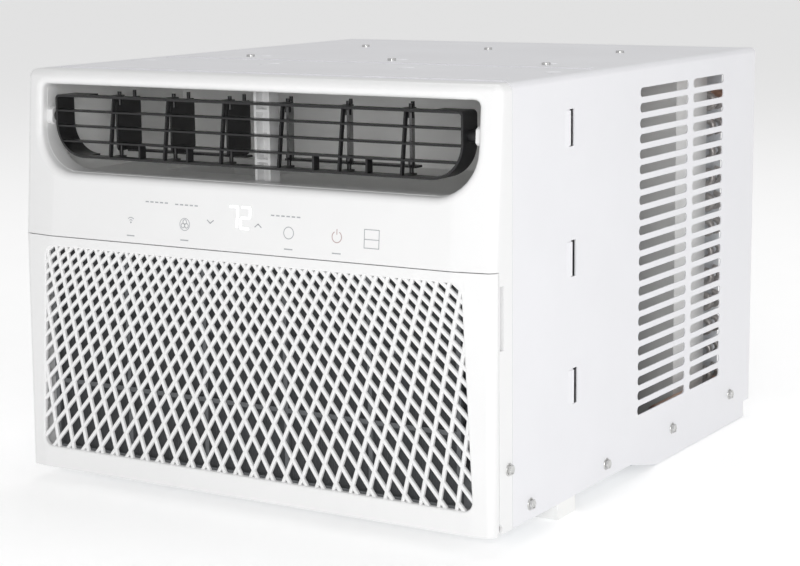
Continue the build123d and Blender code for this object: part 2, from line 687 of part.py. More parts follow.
# ---------------------------------------------------------------- louvre
def cradle_outline(grow=0.0):
    half = CRADLE_HALF + grow
    low, top = BASE_Z + CRADLE_LOW - grow, BASE_Z + CRADLE_TOP + grow
    return rounded([(-half, low), (half, low), (half, top), (-half, top)],
                   [CRADLE_CORNER + grow, CRADLE_CORNER + grow, 4 + grow, 4 + grow])


def vane_x(index):
    """Vanes are numbered from the left; three stand each side of the centre post."""
    return (index - (2 * VANES_PER_SIDE - 1) / 2) * VANE_SPACING


def vane_ears(z0, z1):
    """Lugs behind a long bar that hold the vane pins."""
    front = CRADLE_FRONT + BAR_DEPTH - 1
    ears = []
    for i in range(2 * VANES_PER_SIDE):
        x = vane_x(i)
        ears.append(block(x - 4.5, x + 4.5, front, VANE_PIVOT_D, z0, z1))
        ears.append(rod_z(x, VANE_PIVOT_D, z0, z1, 4.5))
    return ears


def louvre_cradle():
    back = CRADLE_FRONT + CRADLE_DEPTH
    ring = from_front(cradle_outline(), CRADLE_FRONT, back)
    ring -= from_front(cradle_outline(-CRADLE_WALL), CRADLE_FRONT - 1, back + 1)
    z0, z1 = BASE_Z + CRADLE_LOW, BASE_Z + CRADLE_TOP
    side = CRADLE_HALF - CRADLE_CORNER
    ring -= block(-side, side, CRADLE_FRONT + BAR_DEPTH, back + 1, z0 - 1, z1 + 1)
    envelope = from_front(cradle_outline(-1), CRADLE_FRONT - 1, back + 1)
    parts = [ring]
    pitch = (z1 - z0 - BAR_THICK) / (BAR_COUNT - 1)
    for i in range(1, BAR_COUNT - 1):
        z = z0 + i * pitch
        bar = block(-CRADLE_HALF, CRADLE_HALF, CRADLE_FRONT + 0.6, CRADLE_FRONT + BAR_DEPTH - 1,
                    z, z + BAR_THICK)
        parts.append(bar & envelope)
    for i in range(2 * VANES_PER_SIDE):
        x = vane_x(i)
        nose = VANE_PIVOT_D - VANE_NOSE - FIT_GAP
        rib = polygon([(CRADLE_FRONT + 1, z0 + 1), (CRADLE_FRONT + 5, z0 + 1),
                       (nose, z1 - 1), (nose - 4, z1 - 1)])
        parts.append(from_side(rib, x - 0.9, x + 0.9))
    for x in STUBS:
        parts.append(block(x - 1, x + 1, CRADLE_FRONT + 2, CRADLE_FRONT + BAR_DEPTH - 1,
                           z0 + 1, z0 + pitch + 1))
    parts += vane_ears(z0, z0 + CRADLE_WALL)
    parts += vane_ears(z1 - CRADLE_WALL, z1)
    z = BASE_Z + CRADLE_PIVOT_Z
    parts += both_sides(rod_x(CRADLE_HALF - 0.5, OUTLET_HALF - PIVOT_BOSS - 1, CRADLE_PIVOT_D, z,
                              CRADLE_BOSS_R))
    parts += both_sides(rod_x(CRADLE_HALF + 1, OUTLET_HALF - 1, CRADLE_PIVOT_D, z, CRADLE_PIN_R))
    cradle = fuse(parts)
    holes = []
    for i in range(2 * VANES_PER_SIDE):
        holes.append(rod_z(vane_x(i), VANE_PIVOT_D, z0 - 1, z1 + 1, VANE_PIN_R + RUN_GAP))
    return cradle - holes


def vane(index):
    """Upright vane with its pivot pins, link pin and guide knob, drawn straight ahead."""
    x = vane_x(index)
    low, high = BASE_Z + VANE_LOW, BASE_Z + VANE_HIGH
    d0, d1 = VANE_PIVOT_D - VANE_NOSE, VANE_PIVOT_D + VANE_TAIL
    blade = rounded([(d0, low), (d1, low), (d1, high), (d0, high)], [3.5, 6.0, 2.0, 1.5])
    piece = from_side(blade, x - VANE_THICK / 2, x + VANE_THICK / 2)
    z0, z1 = BASE_Z + CRADLE_LOW, BASE_Z + CRADLE_TOP
    piece += rod_z(x, VANE_PIVOT_D, z0, low + 2, VANE_PIN_R)
    piece += rod_z(x, VANE_PIVOT_D, high - 2, z1 + 3, VANE_PIN_R)
    piece += rod_z(x, VANE_PIVOT_D, low, low + 6, 2.6)
    piece += rod_z(x, VANE_PIVOT_D, high - 6, high, 2.6)
    link_d = VANE_PIVOT_D + LINK_RADIUS
    piece += rod_z(x, link_d, BASE_Z + LINK_Z - 0.6, low + 2, LINK_PIN_R)
    piece += rod_z(x, link_d, high - 1, z1 + 3, 1.6)
    if index < VANES_PER_SIDE:
        return piece
    pivot = Axis((x, FRONT_Y + VANE_PIVOT_D, 0), (0, 0, 1))
    return piece.rotate(pivot, RIGHT_VANE_TURN)


def link_offset(turn):
    """Where a link pin stands beside and behind its pivot at a given turn."""
    a = radians(turn)
    return -LINK_RADIUS * sin(a), LINK_RADIUS * cos(a)


def tie_rod(first, turn):
    """Flat link along three vanes; each pin runs in a slot that lies front to back."""
    x_shift, reach = link_offset(turn)
    nearest = LINK_RADIUS * cos(radians(VANE_SWING))
    d0 = VANE_PIVOT_D + nearest - LINK_PIN_R - LINK_GAP
    d1 = VANE_PIVOT_D + LINK_RADIUS + LINK_PIN_R + LINK_GAP
    x0 = vane_x(first) + x_shift
    x1 = vane_x(first + VANES_PER_SIDE - 1) + x_shift
    z0 = BASE_Z + LINK_Z
    rod = block(x0 - 5, x1 + 5, d0 - 1.6, d1 + 1.6, z0, z0 + LINK_THICK)
    for i in range(VANES_PER_SIDE):
        x = vane_x(first + i) + x_shift
        slot = SlotOverall(d1 - d0, 2 * (LINK_PIN_R + LINK_GAP), rotation=90)
        rod -= from_above(Pos(x, (d0 + d1) / 2) * slot, z0 - 1, z0 + LINK_THICK + 1)
    return rod


# ---------------------------------------------------------------- control electronics
def control_board():
    return block(-150, 150, BOARD_D, BOARD_D + BOARD_THICK, BAND_Z - BOARD_HALF_HEIGHT,
                 BAND_Z + BOARD_HALF_HEIGHT)


def display_module():
    return block(-22, 22, DISPLAY_D, BOARD_D, BAND_Z - 12, BAND_Z + 12)


def board_screws():
    places = [(x, BAND_Z + dz) for x in (-140, 140) for dz in (-12, 12)]
    d = BOARD_D + BOARD_THICK
    return group([rod_y(x, d, d + 2, z, 3) for x, z in places])


# ---------------------------------------------------------------- indoor air path
def outlet_duct():
    """Box that leads the cold air from the scroll forward to the outlet."""
    d0, d1 = SEAM_D + FIT_GAP, BULKHEAD_D - 4
    wall = 2.0
    duct = block(-DUCT_HALF, DUCT_HALF, d0, d1, DUCT_FLOOR, DUCT_TOP)
    duct -= block(-DUCT_HALF + wall, DUCT_HALF - wall, d0 - 1, d1 - wall,
                  DUCT_FLOOR + wall, DUCT_TOP - wall)
    x0, x1 = throat_span(-3.0)
    return duct - block(x0, x1, SCROLL_FRONT + 3, SCROLL_BACK - 3, DUCT_FLOOR - 1, DUCT_FLOOR + 4)


def duct_post():
    """Ribbed post that stiffens the middle of the outlet."""
    d0, d1 = SEAM_D + 2, SEAM_D + 16
    low, high = DUCT_FLOOR + 2.0, DUCT_TOP - 2.0
    post = block(-8, 8, d0, d1, low, high)
    rungs = 4
    wall = 2.5
    cell = (high - low - wall) / rungs - wall
    for i in range(rungs):
        z = low + wall + i * (cell + wall)
        post -= block(-8 + wall, 8 - wall, d0 - 1, d0 + 10, z, z + cell)
    return post


def throat_span(grow=0.0):
    return AXIS_X - SCROLL_R - grow, AXIS_X + 25 + grow


def scroll_shape(inset=0.0):
    x0, x1 = throat_span(-inset)
    shape = Pos(AXIS_X, SHAFT_Z) * Circle(SCROLL_R - inset)
    height = DUCT_FLOOR - SHAFT_Z + (inset * 2 if inset else 0)
    return shape + Pos((x0 + x1) / 2, SHAFT_Z + height / 2) * Rectangle(x1 - x0, height)


def scroll_housing():
    scroll = from_front(scroll_shape(), SCROLL_FRONT, SCROLL_BACK)
    scroll -= from_front(scroll_shape(3.0), SCROLL_FRONT - 1, SCROLL_BACK - 3)
    return scroll - rod_y(AXIS_X, SCROLL_BACK - 5, SCROLL_BACK + 1, SHAFT_Z, SHAFT_R + 4)


def inlet_ring():
    """Plate in front of the blower with the round inlet."""
    plate = block(-COIL_HALF, COIL_HALF, SCROLL_FRONT - 3, SCROLL_FRONT - 1, BASE_Z + 26,
                  DUCT_FLOOR - 2)
    plate += rod_y(AXIS_X, SCROLL_FRONT - 8, SCROLL_FRONT - 1, SHAFT_Z, 74)
    return plate - rod_y(AXIS_X, SCROLL_FRONT - 10, SCROLL_FRONT + 2, SHAFT_Z, 70)


def evaporator_coil():
    return block(-COIL_HALF, COIL_HALF, EVAPORATOR_D, EVAPORATOR_D + EVAPORATOR_THICK,
                 BASE_Z + 22, BASE_Z + EVAPORATOR_TOP)


def end_plates(half, d, thick, z0, z1):
    plate = block(half + 0.1, half + 1.6, d - 0.4, d + thick + 1, z0, z1)
    return group(both_sides(plate))


def coil_bends(half, d, thick, z0, z1, r=3.2):
    """Hairpin bends outside the end plates, in two rows."""
    pitch = 25.0
    count = int((z1 - z0 - 20) // pitch)
    bends = []
    for row in (0.27, 0.73):
        for i in range(count):
            z = z0 + 16 + i * pitch
            plane = Plane(origin=(half + 1.6, FRONT_Y + d + thick * row, z), z_dir=(1, 0, 0))
            axis = Axis((half + 1.6, 0, z + pitch / 4), (0, -1, 0))
            bends += both_sides(revolve(plane * Circle(r), axis, 180))
    return group(bends)


def drip_tray():
    d0, d1 = EVAPORATOR_D - 5, EVAPORATOR_D + EVAPORATOR_THICK + 6
    tray = block(-COIL_HALF - 14, COIL_HALF + 14, d0, d1, BASE_Z + SHEET + 0.5, BASE_Z + 34)
    return tray - block(-COIL_HALF - 12, COIL_HALF + 12, d0 + 2, d1 - 2, BASE_Z + 22, BASE_Z + 40)


def foam_seal():
    """Foam strip that closes the gap between the evaporator and the duct."""
    return block(-COIL_HALF, COIL_HALF, EVAPORATOR_D, EVAPORATOR_D + EVAPORATOR_THICK,
                 BASE_Z + EVAPORATOR_TOP + 0.2, DUCT_FLOOR - 0.2)


def air_sensor():
    """Room air sensor in its clip, in front of the evaporator."""
    d = EVAPORATOR_D - 6
    clip_piece = block(120, 128, d - 3, EVAPORATOR_D - 0.2, BASE_Z + 150, BASE_Z + 158)
    return clip_piece + rod_z(124, d, BASE_Z + 140, BASE_Z + 172, 2.6)


def blower_wheel():
    """Squirrel-cage wheel on the front end of the shaft."""
    d0 = SCROLL_FRONT + 8
    d1 = d0 + WHEEL_WIDTH
    wheel = rod_y(AXIS_X, d1 - 2, d1, SHAFT_Z, WHEEL_R)
    hub = rod_y(AXIS_X, d1 - 26, d1, SHAFT_Z, 13)
    rim = rod_y(AXIS_X, d0, d0 + 3, SHAFT_Z, WHEEL_R) - rod_y(AXIS_X, d0 - 1, d0 + 4, SHAFT_Z, WHEEL_R - 12)
    parts = [wheel + hub, rim]
    for i in range(WHEEL_BLADES):
        a = 360.0 * i / WHEEL_BLADES
        blade = Pos(WHEEL_R - 6.5, 0, 0) * Rot(0, 0, 35) * Box(12, 1.2, d1 - d0 - 2)
        turned = Pos(AXIS_X, FRONT_Y + (d0 + d1) / 2, SHAFT_Z) * Rot(90, 0, 0) * Rot(0, 0, a) * blade
        parts.append(turned)
    return fuse(parts) - rod_y(AXIS_X, d0 - 1, d1 + 1, SHAFT_Z, SHAFT_R)


def bulkhead():
    """Sheet wall between the room side and the outdoor side."""
    z1 = TOP_Z - SHEET - FIT_GAP
    wall = block(-PAN_HALF + SHEET + FIT_GAP, PAN_HALF - SHEET - FIT_GAP, BULKHEAD_D,
                 BULKHEAD_D + SHEET, BASE_Z + SHEET, z1)
    wall += block(-PAN_HALF + 8, PAN_HALF - 8, BULKHEAD_D, BULKHEAD_D + 16, z1 - SHEET, z1)
    cutters = [rod_y(AXIS_X, BULKHEAD_D - 1, BULKHEAD_D + 3, SHAFT_Z, SHAFT_R + 5)]
    cutters += [rod_y(PIPE_X, BULKHEAD_D - 1, BULKHEAD_D + 3, BASE_Z + z, 7) for z in PIPE_LEVELS]
    cutters += [rod_z(x, d, z1 - 3, z1 + 1, SCREW_HOLE_R) for x, d in TOP_SCREWS_FRONT]
    return wall - cutters


# ---------------------------------------------------------------- control box and outdoor side
def control_box():
    box = block(92, 222, 104, 206, BASE_Z + 40, BASE_Z + 222)
    return box - block(93.2, 220.8, 103, 204.8, BASE_Z + 41.2, BASE_Z + 220.8)


def control_box_cover():
    cover = block(91, 223, 101.6, 102.8, BASE_Z + 39, BASE_Z + 223)
    return cover + block(93.8, 220.2, 102.8, 108, BASE_Z + 42, BASE_Z + 43.2)


def inverter_board():
    board = block(98, 216, 190, 191.6, BASE_Z + 60, BASE_Z + 205)
    parts = [board]
    for x, z, size, height in ((118, 90, 22, 26), (150, 90, 22, 26), (185, 100, 30, 18)):
        parts.append(block(x - size / 2, x + size / 2, 190 - height, 190.5, BASE_Z + z - size / 2,
                           BASE_Z + z + size / 2))
    for i in range(8):
        x = 110 + i * 12
        parts.append(block(x, x + 1.6, 168, 190.5, BASE_Z + 140, BASE_Z + 195))
    return fuse(parts)


def fan_motor():
    body = rod_y(AXIS_X, MOTOR_D, MOTOR_D + MOTOR_LENGTH, SHAFT_Z, MOTOR_R)
    rims = [e for e in body.edges() if e.geom_type == GeomType.CIRCLE]
    body = fillet(rims, 5)
    body += rod_y(AXIS_X, MOTOR_D - 6, MOTOR_D, SHAFT_Z, 14)
    return body - rod_y(AXIS_X, MOTOR_D - 10, MOTOR_D + MOTOR_LENGTH + 2, SHAFT_Z, SHAFT_R + RUN_GAP)


def motor_bracket():
    d = MOTOR_D + MOTOR_LENGTH
    low = BASE_Z + SHEET
    plate = polygon([(AXIS_X - 75, low), (AXIS_X + 75, low), (AXIS_X + 42, SHAFT_Z + 50),
                     (AXIS_X - 42, SHAFT_Z + 50)])
    bracket = from_front(plate, d, d + 2.5)
    bracket += block(AXIS_X - 75, AXIS_X + 75, d - 24, d + 1, low, low + 2.5)
    return bracket - rod_y(AXIS_X, d - 1, d + 4, SHAFT_Z, SHAFT_R + 5)


def motor_screws():
    d = MOTOR_D + MOTOR_LENGTH + 2.5
    turns = [radians(45 + 90 * i) for i in range(4)]
    return group([rod_y(AXIS_X + 32 * cos(a), d, d + 3, SHAFT_Z + 32 * sin(a), 4) for a in turns])


def motor_shaft():
    return rod_y(AXIS_X, SCROLL_FRONT + 40, FAN_D + FAN_WIDTH + 2, SHAFT_Z, SHAFT_R)


def condenser_fan():
    """Outdoor fan with the slinger ring that lifts water out of the sump."""
    d0, d1 = FAN_D, FAN_D + FAN_WIDTH
    ring = rod_y(AXIS_X, d0, d1, SHAFT_Z, FAN_R) - rod_y(AXIS_X, d0 - 1, d1 + 1, SHAFT_Z, FAN_R - 3)
    hub = rod_y(AXIS_X, d0, d1, SHAFT_Z, 34)
    parts = [ring, hub]
    span = FAN_R - 2 - 30
    for i in range(FAN_BLADES):
        blade = Pos(30 + span / 2, 0, 0) * Rot(28, 0, 0) * Box(span, 46, 2)
        turned = Rot(0, 0, 360.0 * i / FAN_BLADES) * blade
        parts.append(Pos(AXIS_X, FRONT_Y + (d0 + d1) / 2, SHAFT_Z) * Rot(90, 0, 0) * turned)
    return fuse(parts) - rod_y(AXIS_X, d0 - 1, d1 + 1, SHAFT_Z, SHAFT_R)


def condenser_shroud():
    """Plate and tunnel that lead the fan's air through the outdoor coil."""
    half = CONDENSER_HALF + 6
    low, high = SHEET + 8, TOP_Z - SHEET - FIT_GAP
    back = CONDENSER_D - 0.6
    shroud = block(-half, half, SHROUD_D, back, low, high)
    shroud -= block(-half + 2, half - 2, SHROUD_D + 2, back + 1, low + 2, high - 2)
    shroud += rod_y(AXIS_X, FAN_D + FAN_WIDTH / 2, SHROUD_D + 1, SHAFT_Z, FAN_R + TIP_GAP + 2.5)
    shroud -= rod_y(AXIS_X, FAN_D, SHROUD_D + 5, SHAFT_Z, FAN_R + TIP_GAP)
    holes = [rod_z(x, d, high - 3, high + 1, SCREW_HOLE_R) for x, d in TOP_SCREWS_REAR]
    return shroud - holes


def condenser_coil():
    return block(-CONDENSER_HALF, CONDENSER_HALF, CONDENSER_D, CONDENSER_D + CONDENSER_THICK,
                 SHEET + 1, BASE_Z + 338)


def compressor():
    z0 = BASE_Z + SHEET + 13
    z1 = z0 + COMPRESSOR_HEIGHT
    body = rod_z(COMPRESSOR_X, COMPRESSOR_D, z0, z1, COMPRESSOR_R)
    body = fillet([e for e in body.edges() if e.geom_type == GeomType.CIRCLE], 16)
    corners = compressor_feet()
    foot_face = fuse([Pos(x, d) * Circle(10) for x, d in corners])
    plate = make_hull(foot_face.edges())
    base = from_above(plate, z0 - 2.5, z0 + 0.5)
    body += base
    body += rod_z(COMPRESSOR_X - 20, COMPRESSOR_D, z1 - 1, z1 + 14, 18)
    return body - [rod_z(x, d, z0 - 4, z0 + 2, SCREW_HOLE_R) for x, d in corners]


def compressor_grommets():
    z0 = BASE_Z + SHEET
    ring = [rod_z(x, d, z0, z0 + 10.5, 8) - rod_z(x, d, z0 - 1, z0 + 12, SCREW_HOLE_R)
            for x, d in compressor_feet()]
    return group(ring)


def compressor_bolts():
    z0 = BASE_Z + SHEET + 13.5
    bolts = [rod_z(x, d, z0, z0 + 4, 5) + rod_z(x, d, z0 - 15, z0, SCREW_R)
             for x, d in compressor_feet()]
    return group(bolts)


def accumulator():
    x, d = ACCUMULATOR
    low, high = ACCUMULATOR_SPAN
    body = rod_z(x, d, BASE_Z + low, BASE_Z + high, 20)
    return fillet([e for e in body.edges() if e.geom_type == GeomType.CIRCLE], 9)


def suction_line():
    x, d = ACCUMULATOR
    z, up = BASE_Z + PIPE_LEVELS[0], BASE_Z + 268
    middle = EVAPORATOR_D + EVAPORATOR_THICK / 2
    points = [(COIL_HALF + 1.6, middle, z), (PIPE_X, middle, z), (PIPE_X, 262, z),
              (PIPE_X, 262, up), (x, 262, up), (x, d, up), (x, d, BASE_Z + ACCUMULATOR_SPAN[1])]
    return pipe(points, 4.8, 14)


def link_pipe():
    """Short pipe from the accumulator into the side of the compressor."""
    x, d = ACCUMULATOR
    z = BASE_Z + 48
    points = [(x, d, BASE_Z + ACCUMULATOR_SPAN[0]), (x, d, z), (x, COMPRESSOR_D, z),
              (COMPRESSOR_X - COMPRESSOR_R, COMPRESSOR_D, z)]
    return pipe(points, 4.0, 10)


def discharge_line():
    z1 = BASE_Z + SHEET + 13 + COMPRESSOR_HEIGHT
    up = BASE_Z + HIGH_PIPE
    x = COMPRESSOR_X + 24
    d = CONDENSER_D + CONDENSER_THICK / 2
    points = [(x, COMPRESSOR_D, z1), (x, COMPRESSOR_D, up), (PIPE_X, COMPRESSOR_D, up),
              (PIPE_X, d, up), (PIPE_X, d, up - 30), (CONDENSER_HALF + 1.6, d, up - 30)]
    return pipe(points, 3.6, 7)


def liquid_line():
    z = BASE_Z + LOW_PIPE
    d = CONDENSER_D + CONDENSER_THICK / 2
    points = [(CONDENSER_HALF + 1.6, d, z), (PIPE_X, d, z), (PIPE_X, DRIER_D[1], z)]
    return pipe(points, 3.0, 7)


def filter_drier():
    z = BASE_Z + LOW_PIPE
    body = rod_y(PIPE_X, *DRIER_D, z, 7.5)
    return fillet([e for e in body.edges() if e.geom_type == GeomType.CIRCLE], 4)


def capillary_tube():
    low, z = BASE_Z + LOW_PIPE, BASE_Z + PIPE_LEVELS[1]
    d = EVAPORATOR_D + EVAPORATOR_THICK / 2
    points = [(PIPE_X, DRIER_D[0], low), (PIPE_X, 250, low), (PIPE_X, 250, z), (PIPE_X, d, z),
              (COIL_HALF + 1.6, d, z)]
    return pipe(points, 2.0, 6)


# ---------------------------------------------------------------- fasteners
def side_screws():
    screws = [screw_x(HALF, d, z, side) for d, z in SIDE_SCREWS for side in (1, -1)]
    return group(screws)


def bezel_screws():
    d, z = BEZEL_SCREW
    return group([screw_x(HALF, d, z, side) for side in (1, -1)])


def top_screws():
    places = TOP_SCREWS_FRONT + TOP_SCREWS_REAR
    return group([screw_z(x, d, TOP_Z, 6.0) for x, d in places])


def rail_screws():
    return group([screw_z(x, d, BASE_Z + SHEET, 8.0) for x, d in RAIL_SCREWS])


# ---------------------------------------------------------------- all nodes
def all_nodes():
    nodes = {
        "cabinet_shell": cabinet_shell(), "base_pan": base_pan(), "sill_rail": sill_rail(),
        "drain_plug": drain_plug(), "cord_gland": cord_gland(), "front_bezel": front_bezel(),
        "intake_grille": intake_grille(), "grille_hinge_pins": hinge_pins(),
        "filter_frame": filter_frame(), "filter_mesh": filter_mesh(),
        "louvre_cradle": louvre_cradle(), "left_tie_rod": tie_rod(0, 0.0),
        "right_tie_rod": tie_rod(VANES_PER_SIDE, RIGHT_VANE_TURN),
        "control_board": control_board(), "display_module": display_module(),
        "board_screws": board_screws(), "outlet_duct": outlet_duct(), "duct_post": duct_post(),
        "scroll_housing": scroll_housing(), "inlet_ring": inlet_ring(),
        "evaporator_coil": evaporator_coil(), "evaporator_end_plates": end_plates(*EVAPORATOR_SPAN),
        "evaporator_bends": coil_bends(*EVAPORATOR_SPAN), "drip_tray": drip_tray(),
        "foam_seal": foam_seal(), "air_sensor": air_sensor(), "blower_wheel": blower_wheel(),
        "bulkhead": bulkhead(), "control_box": control_box(),
        "control_box_cover": control_box_cover(), "inverter_board": inverter_board(),
        "fan_motor": fan_motor(), "motor_bracket": motor_bracket(), "motor_screws": motor_screws(),
        "motor_shaft": motor_shaft(), "condenser_fan": condenser_fan(),
        "condenser_shroud": condenser_shroud(), "condenser_coil": condenser_coil(),
        "condenser_end_plates": end_plates(*CONDENSER_SPAN),
        "condenser_bends": coil_bends(*CONDENSER_SPAN), "compressor": compressor(),
        "compressor_grommets": compressor_grommets(), "compressor_bolts": compressor_bolts(),
        "accumulator": accumulator(), "suction_line": suction_line(), "link_pipe": link_pipe(),
        "discharge_line": discharge_line(), "liquid_line": liquid_line(),
        "filter_drier": filter_drier(), "capillary_tube": capillary_tube(),
        "side_screws": side_screws(), "bezel_screws": bezel_screws(), "top_screws": top_screws(),
        "rail_screws": rail_screws(),
    }
    for i in range(2 * VANES_PER_SIDE):
        nodes[f"vane_{i + 1}"] = vane(i)
    return nodes


os.makedirs("parts", exist_ok=True)
for name, shape in all_nodes().items():
    export_step(shape, f"parts/{name}.step")
    print(name)
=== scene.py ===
import json
import math
import random

import bmesh
import bpy
from mathutils import Matrix, Vector


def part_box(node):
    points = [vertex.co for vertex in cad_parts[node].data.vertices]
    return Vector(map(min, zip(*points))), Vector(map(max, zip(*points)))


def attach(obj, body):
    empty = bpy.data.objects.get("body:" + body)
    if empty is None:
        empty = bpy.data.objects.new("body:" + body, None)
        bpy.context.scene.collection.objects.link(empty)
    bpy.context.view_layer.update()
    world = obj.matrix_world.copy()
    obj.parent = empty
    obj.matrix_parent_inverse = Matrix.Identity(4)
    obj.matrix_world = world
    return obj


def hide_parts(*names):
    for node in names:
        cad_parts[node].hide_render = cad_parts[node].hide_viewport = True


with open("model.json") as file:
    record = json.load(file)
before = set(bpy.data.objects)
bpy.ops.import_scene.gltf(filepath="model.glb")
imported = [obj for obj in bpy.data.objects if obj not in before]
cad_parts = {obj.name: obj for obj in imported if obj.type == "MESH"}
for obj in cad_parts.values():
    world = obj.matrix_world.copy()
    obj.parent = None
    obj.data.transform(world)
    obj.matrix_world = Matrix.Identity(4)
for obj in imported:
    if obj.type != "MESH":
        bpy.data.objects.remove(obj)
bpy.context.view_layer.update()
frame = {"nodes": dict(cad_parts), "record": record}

random.seed(11)

# ---------------------------------------------------------------- sizes of the unit, in metres
FRONT_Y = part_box("intake_grille")[0].y
HALF = 0.2415
BASE_Z = 0.014
TOP_Z = 0.375
SEAM = 0.036

BEVEL_TOP = 0.036
BEVEL_LOW = 0.018
BEVEL_FALL = 0.16
GRILLE_HEIGHT = 0.214
GRILLE_TOP = BASE_Z + GRILLE_HEIGHT
FACE_LEAN = 0.085       # how far the face above the grille leans back, per metre of height

OUTLET_HALF = 0.223
OUTLET_LOW = BASE_Z + 0.271
OUTLET_TOP = BASE_Z + 0.3495
OUTLET_CORNER = 0.038
OUTLET_TOP_CORNER = 0.005
LIP = 0.0062            # radius of the rolled edge round the outlet
LIP_DEPTH = 0.013

LATTICE_HALF_LOW = 0.224
LATTICE_HALF_TOP = 0.2135
LATTICE_LOW = BASE_Z + 0.020
LATTICE_TOP = BASE_Z + 0.2045
LATTICE_CORNER = 0.009
LATTICE_D = 0.0015
STRUT = 0.0033
STRUT_DEPTH = 0.003
STRUT_PITCH = 0.01152
FAN_HALF = 0.295        # sideways place of the points that the struts fan out from
FAN_HEIGHT = BASE_Z + 0.583
PITCH_LEVEL = BASE_Z + 0.200
WINDOW_LIP = 0.0015

COIL_PITCH = 0.0017     # fin to fin
FIN_THICK = 0.00045
FIN_JOG = 0.00018       # painted shade: how far the dark block sits behind the edges of the fins, standing in for the shade deep in the coil
SHADE_CORE_INSET = 0.005      # the dark core behind the edges of the fins
TUBE_STEP = 0.025
TUBE_RADIUS = 0.0048
TUBE_ROWS = (0.27, 0.73)   # places of the two rows of tubes, as shares of the coil's depth

THREAD_PITCH = 0.0021
THREAD_WIDTH = 0.00045
CROSS_THREADS = 30

PRINT_RISE = 0.00004    # how far the printed marks stand in front of the band
PRINT_THICK = 0.00006
PRINT_LINE = 0.0007
ICON_Z = BASE_Z + 0.234
DIGIT_Z = BASE_Z + 0.2345

SCREW_SHANK = 0.0019
SCREW_WASHER = 0.0055
SCREW_HEX = 0.0045


def at(x, d, z):
    """A point from its place across, its depth behind the front face and its height."""
    return Vector((x, FRONT_Y + d, z))


# ---------------------------------------------------------------- finishes
def new_node(tree, kind, **values):
    node = tree.nodes.new(kind)
    for key, value in values.items():
        if key in node.inputs:
            node.inputs[key].default_value = value
        else:
            setattr(node, key, value)
    return node


def noise(tree, coords, scale, detail=4.0, rough=0.55):
    node = new_node(tree, "ShaderNodeTexNoise", Scale=scale, Detail=detail, Roughness=rough)
    tree.links.new(coords, node.inputs["Vector"])
    return node.outputs["Fac"]


def spread(tree, value, low, high, start=0.3, stop=0.7):
    """Map a pattern onto a range."""
    node = tree.nodes.new("ShaderNodeMapRange")
    node.inputs["From Min"].default_value = start
    node.inputs["From Max"].default_value = stop
    node.inputs["To Min"].default_value = low
    node.inputs["To Max"].default_value = high
    tree.links.new(value, node.inputs["Value"])
    return node.outputs["Result"]


def two_tone(tree, value, colour_a, colour_b):
    node = tree.nodes.new("ShaderNodeMix")
    node.data_type = "RGBA"
    node.inputs["A"].default_value = (*colour_a, 1)
    node.inputs["B"].default_value = (*colour_b, 1)
    node.inputs[6].default_value = (*colour_a, 1)
    node.inputs[7].default_value = (*colour_b, 1)
    tree.links.new(value, node.inputs[0])
    return node.outputs[2]


def scaled(colour, by):
    return tuple(min(1.0, c * by) for c in colour)


def finish(name, colour, rough, metal=0.0, mottle=0.04, patch=14.0, grain=1500.0, rise=0.12,
           coat=0.0, pattern="grain", other=None, rough_range=0.08):
    """A finish with its own colour variation, roughness variation and surface relief."""
    mat = bpy.data.materials.new(name)
    mat.use_nodes = True
    tree = mat.node_tree
    shader = tree.nodes["Principled BSDF"]
    shader.inputs["Metallic"].default_value = metal
    shader.inputs["Coat Weight"].default_value = coat
    shader.inputs["Coat Roughness"].default_value = 0.15
    coords = tree.nodes.new("ShaderNodeTexCoord").outputs["Object"]
    broad = spread(tree, noise(tree, coords, patch), 0.0, 1.0)
    fine = noise(tree, coords, grain, 2.0)
    if pattern == "spangle":
        cells = new_node(tree, "ShaderNodeTexVoronoi", Scale=grain)
        tree.links.new(coords, cells.inputs["Vector"])
        split = tree.nodes.new("ShaderNodeSeparateColor")
        tree.links.new(cells.outputs["Color"], split.inputs["Color"])
        broad = split.outputs[0]
        fine = split.outputs[1]
    if pattern == "weave":
        threads = []
        for way in ("X", "Z"):
            wave = new_node(tree, "ShaderNodeTexWave", Scale=grain, Distortion=0.4)
            wave.bands_direction = way
            tree.links.new(coords, wave.inputs["Vector"])
            threads.append(wave.outputs["Fac"])
        both = new_node(tree, "ShaderNodeMath", operation="MAXIMUM")
        tree.links.new(threads[0], both.inputs[0])
        tree.links.new(threads[1], both.inputs[1])
        fine = both.outputs[0]
        broad = fine
    tone = two_tone(tree, broad, scaled(colour, 1 - mottle), other or scaled(colour, 1 + mottle))
    tree.links.new(tone, shader.inputs["Base Color"])
    tree.links.new(spread(tree, broad, rough - rough_range / 2, rough + rough_range / 2, 0.0, 1.0),
                   shader.inputs["Roughness"])
    bump = new_node(tree, "ShaderNodeBump", Strength=rise, Distance=0.0004)
    tree.links.new(fine, bump.inputs["Height"])
    tree.links.new(bump.outputs["Normal"], shader.inputs["Normal"])
    return mat


